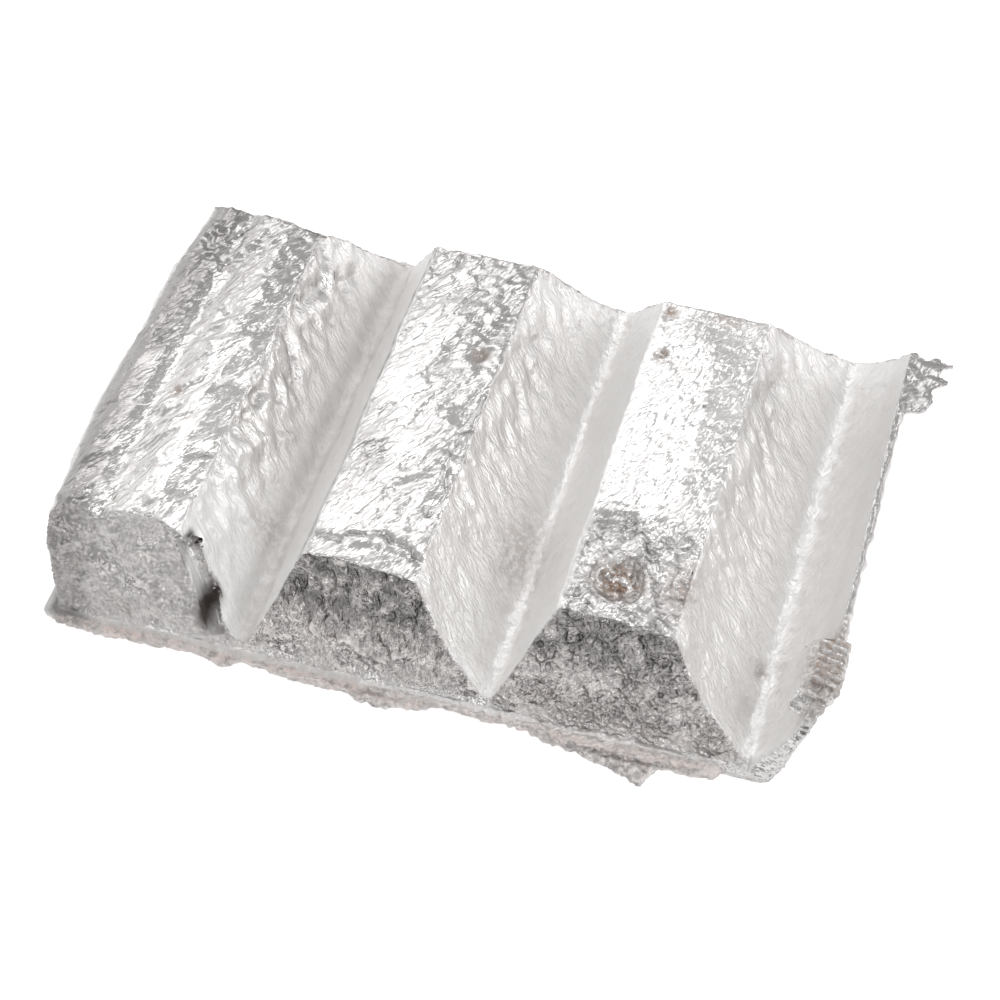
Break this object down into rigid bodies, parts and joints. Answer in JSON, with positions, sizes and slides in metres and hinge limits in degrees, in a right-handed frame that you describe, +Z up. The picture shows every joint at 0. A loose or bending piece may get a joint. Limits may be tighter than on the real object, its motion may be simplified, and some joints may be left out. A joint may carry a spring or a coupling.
{
  "type": "aluminium master alloy ingot",
  "caption": "Cast waffle-plate ingot: heavy drafted bars on a thin web, with break grooves between them and a torn skirt along one side.",
  "frame": {"origin": "middle of the underside, on the plane it lies on", "axes": "+X across the bars towards the torn skirt, +Y along the bars away from the front ends, +Z up out of the bars' tops"},
  "size_m": [0.2963, 0.2072, 0.0423],
  "materials": {
    "cast_metal": "as-cast, bright, wrinkled"
  },
  "bodies": {
    "root": {"ingot": "cast_metal"}
  },
  "joints": []
}
